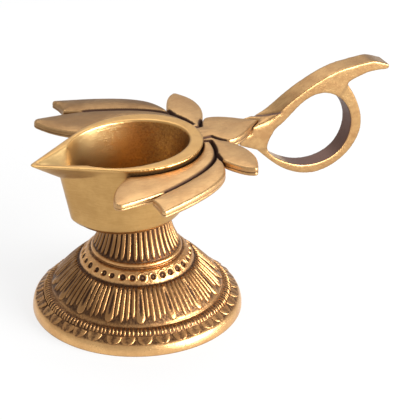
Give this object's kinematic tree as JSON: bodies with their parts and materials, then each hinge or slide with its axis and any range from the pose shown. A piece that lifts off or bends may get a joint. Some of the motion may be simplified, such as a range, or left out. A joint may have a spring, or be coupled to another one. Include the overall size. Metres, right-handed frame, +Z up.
{
  "type": "diya oil lamp",
  "caption": "Hand-held brass oil lamp: a spouted oil cup ringed by flat leaf petals, on a hollow round foot, with a finger ring and thumb bar behind.",
  "frame": {"origin": "centre of the ring that the foot rests on", "axes": "+X runs to the handle and the spout points to -X, +Z is up, XZ is the mirror plane"},
  "size_m": [0.1343, 0.0896, 0.0745],
  "materials": {
    "engraved_brass": "cast and engraved, darkened in the recesses, worn bright on the high lines",
    "cup_brass": "satin, finely brushed outside, mottled inside",
    "petal_brass": "satin on the flat tops, dark patina in the seams",
    "handle_brass": "satin, dark patina inside the ring",
    "fastener_steel": "dull zinc"
  },
  "bodies": {
    "foot_body": {"foot": "engraved_brass"},
    "cup_body": {"cup": "cup_brass", "petal_left_inner": "petal_brass", "petal_right_inner": "petal_brass", "petal_left_outer": "petal_brass", "petal_right_outer": "petal_brass", "petal_rear_left": "petal_brass", "petal_rear_right": "petal_brass", "petal_rear_centre": "petal_brass", "thumb_bar": "handle_brass", "finger_ring": "handle_brass", "stud": "fastener_steel"},
    "washer_body": {"washer": "fastener_steel"},
    "nut_body": {"clamp_nut": "fastener_steel"}
  },
  "joints": [
    {"name": "cup_turn", "type": "hinge", "parent": "foot_body", "child": "cup_body", "pos_m": [0, 0, 0.0365], "axis": [0, 0, 1], "continuous": true},
    {"name": "washer_travel", "type": "slide", "parent": "cup_body", "child": "washer_body", "axis": [0, 0, -1], "range_m": [0, 0.006]},
    {"name": "nut_turn", "type": "hinge", "parent": "washer_body", "child": "nut_body", "pos_m": [0, 0, 0.0265], "axis": [0, 0, -1], "range_deg": [0, 2160]}
  ],
  "couplings": [
    {"joint": "nut_turn", "follows": "washer_travel", "rad_per_m": 6283.2}
  ]
}
